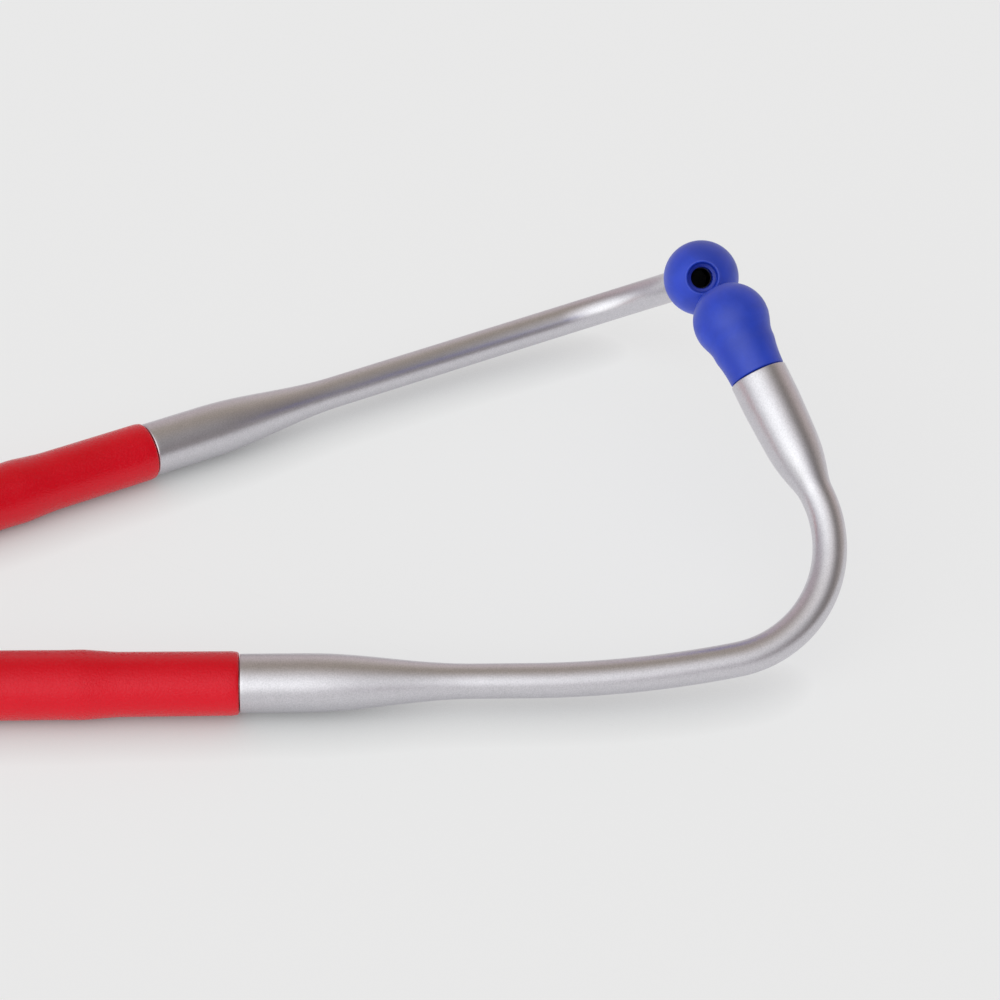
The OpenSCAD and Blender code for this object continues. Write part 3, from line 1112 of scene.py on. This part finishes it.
@dataclass(frozen=True)
class Yoke:
    """The moulding in which both branches and the main tube meet."""

    wall: float = 0.9
    front_sleeve: float = 9.0
    tail_in: float = 0.6
    meeting: float = 9.0
    waist: tuple[float, float, float] = (-1.2, -11.0, 0.0)
    first_wall: float = 0.35
    wall_rings: int = 14
    sides: int = 40
    voxel: float = 0.0006
    smoothing: int = 26
    softness: float = 0.6
    off_table: float = 0.05
    crown: float = 0.85

    def build(self, hose_r: float, finishes: Finishes) -> bpy.types.Object:
        """Builds the yoke as one blended skin.

        Args:
            hose_r: outside radius of the tubing, in millimetres.
            finishes: the object's finishes.

        Returns:
            The piece, which stands for the frame's yoke.
        """
        knuckle = PLACES.knuckle
        back_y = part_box("yoke")[0].y
        tail, inner = (
            Vector((PLACES.mid_x, back_y + ahead * MM, knuckle.z))
            for ahead in (self.tail_in, self.meeting)
        )
        points: list[Vector] = []
        faces: list[list[int]] = []
        for side in Side:
            mirror = PLACES.mirror(side)
            sleeve = knuckle_arc(0, np.linspace(0, self.front_sleeve / BEND_R, 6))
            knots = [tail, inner, knuckle + Vector(self.waist) * MM, *sleeve]
            path = [mirror @ p for p in spline_through(knots, 6)]
            radii = [
                (hose_r + self.wall * min(1.0, self.first_wall + i / self.wall_rings)) * MM
                for i in range(len(path))
            ]
            more, some = swept(path, radii, self.sides)
            faces += [[len(points) + v for v in face] for face in some]
            points += more
        piece = new_piece("yoke_vinyl", (points, faces), finishes.vinyl)
        remesh = piece.modifiers.new("blend", "REMESH")
        remesh.mode = "VOXEL"
        remesh.voxel_size = self.voxel
        smooth = piece.modifiers.new("soften", "SMOOTH")
        smooth.factor = self.softness
        smooth.iterations = self.smoothing
        self.bake(piece)
        top = 2 * knuckle.z + self.crown * MM
        for vertex in piece.data.vertices:
            vertex.co.z = min(max(vertex.co.z, self.off_table * MM), top)
        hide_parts("yoke")
        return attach(piece, "tubing")

    @staticmethod
    def bake(piece: bpy.types.Object) -> None:
        """Turns a piece's modifiers into its mesh."""
        graph = bpy.context.evaluated_depsgraph_get()
        mesh = bpy.data.meshes.new_from_object(piece.evaluated_get(graph))
        piece.modifiers.clear()
        piece.data = mesh
        mesh.polygons.foreach_set("use_smooth", [True] * len(mesh.polygons))


@dataclass(frozen=True)
class LeafSpring:
    """One leg and half of the hairpin of the spring strip inside the tubing."""

    thickness: float = 0.8
    height: float = 5.0
    offset: float = 4.0
    leg: float = 18.0
    back: float = 3.0

    def middle(self) -> list[Vector]:
        """Points along the strip on the right side, from the plane of symmetry, in metres."""
        knuckle, axis = PLACES.knuckle, PLACES.axis
        inner = knuckle.x - self.offset * MM - PLACES.mid_x
        turn_middle = Vector((PLACES.mid_x, knuckle.y - self.back * MM, knuckle.z))
        hairpin = [
            turn_middle + inner * Vector((math.sin(a), -math.cos(a), 0))
            for a in np.linspace(0, math.pi / 2, 10)
        ]
        bend = knuckle_arc(self.offset, np.linspace(0, PLACES.half_angle, 14))
        return [*hairpin, *bend, bend[-1] + axis * self.leg * MM]

    def build(self, side: Side, finishes: Finishes) -> bpy.types.Object:
        """Builds a side's strip.

        Args:
            side: the side it belongs to.
            finishes: the object's finishes.

        Returns:
            The piece, with its placing baked into its mesh.
        """
        path = self.middle()
        up = Vector((0, 0, self.height / 2 * MM))
        points = []
        for point, along in zip(path, tangents(path)):
            out = Vector((along.y, -along.x, 0)) * (self.thickness / 2 * MM)
            points += [point - out - up, point + out - up, point + out + up, point - out + up]
        name, shape = f"leaf_spring_{side.word}", (points, tube_faces(len(path), 4))
        piece = new_piece(name, shape, finishes.spring_metal, PLACES.mirror(side))
        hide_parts("leaf_spring")
        return bend_with_arm(piece, side)


@dataclass(frozen=True)
class MainTube:
    """The free tube from the yoke to the chestpiece's stem, laid in one loose loop."""

    diameter: float = 11.8
    edge: float = 0.5
    edge_share: float = 0.2
    sides: int = 48
    route: tuple[tuple[float, float, float], ...] = (
        (26.5, 0, 5.9), (26.5, -15, 5.9), (28, -37, 5.9), (31.5, -59, 5.9), (34, -81, 5.9),
        (33.5, -104, 5.9), (28, -126, 5.9), (16, -145, 5.9), (-2, -157, 5.9), (-23, -160, 5.9),
        (-44, -155, 5.9), (-61, -142, 5.9), (-71, -123, 5.9), (-74, -101, 5.9), (-72, -78, 5.9),
        (-68, -56, 6), (-64, -32, 7), (-61.5, -9, 8.8), (-61, 2, 9.3), (-61, 16, 9.3),
    )

    def build(self, finishes: Finishes) -> bpy.types.Object:
        """Args:
            finishes: the object's finishes.

        Returns:
            The piece, which stands for the frame's main tube.
        """
        rear = Vector((0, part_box("yoke")[0].y, 0))
        knots = [rear + Vector(p) * MM for p in self.route]
        path = spline_through(knots, 8)
        radius = self.diameter / 2 * MM
        first = path[0].lerp(path[1], self.edge_share)
        last = path[-1].lerp(path[-2], self.edge_share)
        middle = [path[0], first, *path[1:-1], last, path[-1]]
        radii = [radius] * len(middle)
        radii[-1] = radius - self.edge * MM
        shape = swept(middle, radii, self.sides)
        piece = new_piece("main_tube_vinyl", shape, finishes.vinyl, sharp=60.0)
        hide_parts("main_tube")
        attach(piece, "tubing")
        return piece


# ---- chestpiece


@dataclass(frozen=True)
class Chestpiece:
    """The two-sided chestpiece, with its rims, diaphragms and stem."""

    large_r: float = 22.0
    small_r: float = 16.5
    rim_t: float = 2.0
    lip_t: float = 1.1
    film_t: float = 0.8
    film_edge: float = 0.5
    height: float = 19.2
    lip_w: float = 3.4
    film_step: float = 1.6
    boss_r: float = 5.6
    boss_end: float = 20.0
    sides: int = 128
    stem_sides: int = 64

    def place(self) -> Matrix:
        """The chestpiece's middle on the table, in millimetres."""
        spot = Vector((PLACES.chest.x, PLACES.chest.y, 0))
        return Matrix.Translation(spot) @ Matrix.Scale(MM, 4)

    def stem_place(self) -> Matrix:
        """The stem's axis as +Z towards the main tube, in millimetres."""
        aim = Matrix.Rotation(math.pi / 2, 4, "X")
        return Matrix.Translation(PLACES.chest) @ aim @ Matrix.Scale(MM, 4)

    def body(self, finishes: Finishes) -> bpy.types.Object:
        """Builds the turned metal body."""
        flange_r, foot_r = self.large_r - self.rim_t, self.small_r - self.rim_t
        small_face = self.lip_t + self.film_edge
        large_face = self.height - small_face
        outline = filleted([
            (1.6, small_face + 1.2, 0), (foot_r - 2, small_face + 0.7, 0.5),
            (foot_r - 1.2, small_face, 0.3), (foot_r, small_face, 0.2),
            (foot_r, small_face + 2.6, 0.6), (11.9, 6.4, 2.0), (9.5, 8.4, 2.4), (9.5, 10.4, 2.4),
            (12.1, 12.2, 3.0), (flange_r - 0.8, 14.0, 0.8), (flange_r, 14.7, 0.3),
            (flange_r, large_face, 0.2), (flange_r - 1.4, large_face, 0.3),
            (flange_r - 2.4, large_face - 0.8, 0.5), (1.6, large_face - 2, 0),
        ])
        shape = turned(outline, self.sides)
        piece = new_piece("chestpiece_turned", shape, finishes.chest_metal, self.place())
        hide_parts("chestpiece_body")
        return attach(piece, "chestpiece")

    def boss(self, finishes: Finishes) -> bpy.types.Object:
        """Builds the boss that the stem turns in."""
        r, end = self.boss_r, self.boss_end
        outline = filleted([
            (4.0, 5.0, 0), (r, 5.0, 0), (r, end - 3.2, 0.1), (r - 0.35, end - 2.9, 0.1),
            (r - 0.35, end - 2.3, 0.1), (r, end - 2.0, 0.1), (r, end, 0.5), (4.0, end, 0.2),
            (4.0, 12.0, 0),
        ])
        shape = turned(outline, self.stem_sides)
        piece = new_piece("stem_boss", shape, finishes.stem_metal, self.stem_place())
        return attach(piece, "chestpiece")

    def stem(self, finishes: Finishes) -> bpy.types.Object:
        """Builds the stem that joins the chestpiece to the main tube."""
        outline = filleted([
            (1.6, -3.4, 0), (3.0, -3.4, 0.3), (3.0, 11.6, 0), (2.4, 11.6, 0), (2.4, 14.4, 0),
            (3.0, 14.4, 0), (3.0, 17.9, 0), (2.3, 17.9, 0), (2.3, 19.3, 0), (3.0, 19.3, 0),
            (3.0, 20.3, 0), (4.8, 20.3, 0.4), (4.8, 21.6, 0.4), (4.25, 23.2, 0.8),
            (4.25, 25.2, 0.3), (5.4, 25.4, 0.4), (5.4, 27.0, 0.4), (3.1, 27.0, 0),
            (3.1, 42.0, 0.3), (2.5, 43.0, 0.2), (1.6, 43.0, 0),
        ])
        shape = turned(outline, self.stem_sides)
        piece = new_piece("stem_turned", shape, finishes.stem_metal, self.stem_place())
        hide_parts("stem")
        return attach(piece, "tubing")

    def rim(
        self, name: str, radius: float, wall: float, place: Matrix, finishes: Finishes
    ) -> bpy.types.Object:
        """Builds a soft snap-on rim.

        Args:
            name: the frame's node that the rim stands for.
            radius: its outside radius, in millimetres.
            wall: its height, in millimetres.
            place: its outer face as z = 0, facing +Z, in millimetres.
            finishes: the object's finishes.

        Returns:
            The piece.
        """
        inner, lip = radius - self.rim_t, radius - self.lip_w
        outline = filleted([
            (inner, -wall, 0), (radius - 0.5, -wall, 0.4), (radius - 0.1, -wall + 1.4, 0.8),
            (radius, -1.6, 0.8), (radius - 0.4, 0.0, 1.0), (lip, 0.0, 0.45),
            (lip, -self.lip_t + 0.02, 0.1), (inner, -self.lip_t + 0.02, 0),
        ], 8)
        shape = hollow_turned(outline, self.sides)
        piece = new_piece(f"{name}_silicone", shape, finishes.silicone, place)
        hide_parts(name)
        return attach(piece, "chestpiece")

    def diaphragm(
        self, name: str, radius: float, dome: float, place: Matrix, finishes: Finishes
    ) -> bpy.types.Object:
        """Builds a thin diaphragm with a slightly raised middle.

        Args:
            name: the frame's node that it stands for.
            radius: its radius, in millimetres.
            dome: how far its middle stands proud, in millimetres.
            place: its outer face's edge as z = 0, facing +Z, in millimetres.
            finishes: the object's finishes.

        Returns:
            The piece.
        """
        flat = radius - self.film_step
        step = self.film_edge - self.film_t
        outline = [(0.02, -self.film_t), (radius, -self.film_t), (radius, step), (flat, step)]
        outline += [(flat, -0.1), (flat - 0.1, 0.0)]
        outline += [
            ((flat - 0.1) * (1 - t), dome * math.sin(t * math.pi / 2) ** 0.8)
            for t in np.linspace(0.04, 0.999, 16)
        ]
        shape = turned(outline, self.sides)
        piece = new_piece(f"{name}_film", shape, finishes.film, place)
        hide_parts(name)
        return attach(piece, "chestpiece")

    def build(self, finishes: Finishes) -> list[bpy.types.Object]:
        """Builds the whole chestpiece.

        Args:
            finishes: the object's finishes.

        Returns:
            Its pieces.
        """
        up = self.place()
        top = up @ Matrix.Translation((0, 0, self.height))
        under = up @ Matrix.Rotation(math.pi, 4, "X")
        sunk = self.lip_t + self.film_edge - self.film_t
        top_film = up @ Matrix.Translation((0, 0, self.height - sunk))
        under_film = under @ Matrix.Translation((0, 0, -sunk))
        return [
            self.body(finishes),
            self.boss(finishes),
            self.stem(finishes),
            self.rim("large_rim", self.large_r, 4.0, top, finishes),
            self.rim("small_rim", self.small_r, 3.4, under, finishes),
            self.diaphragm(
                "large_diaphragm", self.large_r - self.rim_t, 0.35, top_film, finishes
            ),
            self.diaphragm(
                "small_diaphragm", self.small_r - self.rim_t, 0.3, under_film, finishes
            ),
        ]


# ---- studio


@dataclass(frozen=True)
class Sky:
    """The studio's walls and softboxes, as overlapping soft patches of light all around.

    Each patch has an azimuth and an elevation in degrees, and its light in red, green and blue.
    """

    tightness: float = 9.0
    patches: tuple[tuple[float, float, Colour], ...] = (
        (0, 8, (0.25, 0.22, 0.25)), (40, 8, (0.11, 0.09, 0.08)),
        (80, 8, (0.42, 0.39, 0.36)), (120, 8, (0.40, 0.36, 0.38)),
        (160, 8, (0.36, 0.32, 0.33)), (200, 8, (0.35, 0.30, 0.31)),
        (240, 8, (0.35, 0.34, 0.36)), (280, 8, (0.51, 0.52, 0.54)),
        (320, 8, (0.95, 0.97, 0.93)), (110, 32, (0.34, 0.28, 0.25)),
        (155, 32, (0.31, 0.29, 0.28)), (200, 32, (0.29, 0.24, 0.25)),
        (245, 32, (0.06, 0.04, 0.05)), (290, 32, (0.64, 0.66, 0.64)),
        (335, 32, (0.98, 1.02, 1.00)), (0, 56, (0.54, 0.53, 0.54)),
        (144, 56, (0.13, 0.12, 0.07)), (216, 56, (0.10, 0.07, 0.06)),
        (288, 56, (0.55, 0.57, 0.58)), (0, 88, (0.26, 0.22, 0.18)),
    )

    def build(self) -> bpy.types.World:
        """Builds the world from the patches and returns it."""
        world = bpy.data.worlds.new("studio")
        world.use_nodes = True
        s = Shader(world.node_tree)
        direction = s.add("ShaderNodeTexCoord").outputs["Generated"]
        total = None
        for azimuth, elevation, light in self.patches:
            a, e = math.radians(azimuth), math.radians(elevation)
            aim = s.add("ShaderNodeVectorMath", operation="DOT_PRODUCT")
            s.link(direction, aim.inputs[0])
            aim.inputs[1].default_value = (
                math.cos(e) * math.cos(a), math.cos(e) * math.sin(a), math.sin(e)
            )
            off_axis = s.math("SUBTRACT", aim.outputs["Value"], 1.0)
            falloff = s.math("MULTIPLY", off_axis, self.tightness)
            patch = s.add("ShaderNodeVectorMath", operation="MULTIPLY_ADD")
            patch.inputs[1].default_value = light
            s.link(s.math("EXPONENT", falloff, 0.0), patch.inputs[0])
            if total is not None:
                s.link(total, patch.inputs[2])
            total = patch.outputs[0]
        glow = s.add("ShaderNodeBackground")
        s.link(total, glow.inputs["Color"])
        s.link(glow.outputs[0], s.add("ShaderNodeOutputWorld").inputs["Surface"])
        return world


@dataclass(frozen=True)
class Studio:
    """The camera, placed from the right ear tube's socket, the pale floor and the light."""

    camera_from_socket: tuple[float, float, float] = (0.3390, -0.0769266, 0.3003)
    camera_aim: tuple[float, float, float] = (-0.75295, 0.27051, -0.59991)
    camera_up: tuple[float, float, float] = (-0.58174, 0.15258, 0.79894)
    lens: float = 97.2
    floor_glow: Colour = (0.565, 0.575, 0.581)
    floor_albedo: float = 0.35
    shade_reach: float = 0.009
    shade_depth: float = 0.62
    floor_half: float = 6.0
    sky: Sky = field(default_factory=Sky)

    def floor(self) -> None:
        """Lays the pale floor, which glows evenly but for a shade where things touch it."""
        points = [
            Vector((x, y, 0)) * self.floor_half for x, y in ((-1, -1), (1, -1), (1, 1), (-1, 1))
        ]
        material, s = new_material("pale_floor")
        glow = s.add("ShaderNodeEmission")
        glow.inputs["Color"].default_value = (*self.floor_glow, 1.0)
        open_to_sky = s.add("ShaderNodeAmbientOcclusion", samples=8, Distance=self.shade_reach)
        shade = s.math("POWER", open_to_sky.outputs["AO"], self.shade_depth)
        s.link(shade, glow.inputs["Strength"])
        matte = s.add("ShaderNodeBsdfDiffuse")
        matte.inputs["Color"].default_value = (*(self.floor_albedo,) * 3, 1.0)
        both = s.add("ShaderNodeAddShader")
        out = s.add("ShaderNodeOutputMaterial")
        s.link(glow.outputs[0], both.inputs[0])
        s.link(matte.outputs[0], both.inputs[1])
        s.link(both.outputs[0], out.inputs["Surface"])
        new_piece("floor", (points, [[0, 1, 2, 3]]), material)

    def camera(self) -> None:
        """Sets the camera up."""
        data = bpy.data.cameras.new("camera")
        data.lens = self.lens
        data.sensor_width = 36.0
        data.clip_start, data.clip_end = 0.01, 50.0
        camera = bpy.data.objects.new("camera", data)
        bpy.context.scene.collection.objects.link(camera)
        back = -Vector(self.camera_aim).normalized()
        right = Vector(self.camera_up).cross(back).normalized()
        up = back.cross(right)
        turn = Matrix((right, up, back)).transposed().to_4x4()
        spot = PLACES.socket + Vector(self.camera_from_socket)
        camera.matrix_world = Matrix.Translation(spot) @ turn
        bpy.context.scene.camera = camera

    def build(self) -> None:
        """Sets up the camera, the floor, the light all around and the colour view."""
        self.camera()
        self.floor()
        bpy.context.scene.world = self.sky.build()
        bpy.context.scene.view_settings.view_transform = "Standard"


# ---- all together


def dress_inner_nodes(finishes: Finishes) -> None:
    """Gives the frame's own small pieces their finishes.

    Args:
        finishes: the object's finishes.
    """
    worn = {
        "ear_tip_core_left": finishes.core,
        "ear_tip_core_right": finishes.core,
        "stem_o_ring": finishes.seal,
        "stem_bushing": finishes.bearing,
        "set_screw": finishes.screw_metal,
    }
    for node, material in worn.items():
        mesh = frame["nodes"][node].data
        mesh.materials.clear()
        mesh.materials.append(material)


def main() -> None:
    """Builds the studio and every piece, in order."""
    logging.basicConfig(level=logging.INFO, format="%(name)s: %(message)s")
    Studio().build()
    finishes = Finishes()
    made = [MainTube().build(finishes)]
    left_tube = EarTube(straight=53.2, full_angle=math.radians(119.6), face=-1.0, edge=0.4)
    for side, tube in ((Side.LEFT, left_tube), (Side.RIGHT, EarTube())):
        made.append(tube.build(side, finishes))
        made.append(EarTip().build(side, tube, finishes))
        made.append(Branch(face=tube.face).build(side, finishes))
        made.append(LeafSpring().build(side, finishes))
    made.append(Yoke().build(Branch().hose_r, finishes))
    made += Chestpiece().build(finishes)
    dress_inner_nodes(finishes)
    for piece in made:
        log.info("%s: %d faces", piece.name, len(piece.data.polygons))


if __name__ == "__main__":
    main()
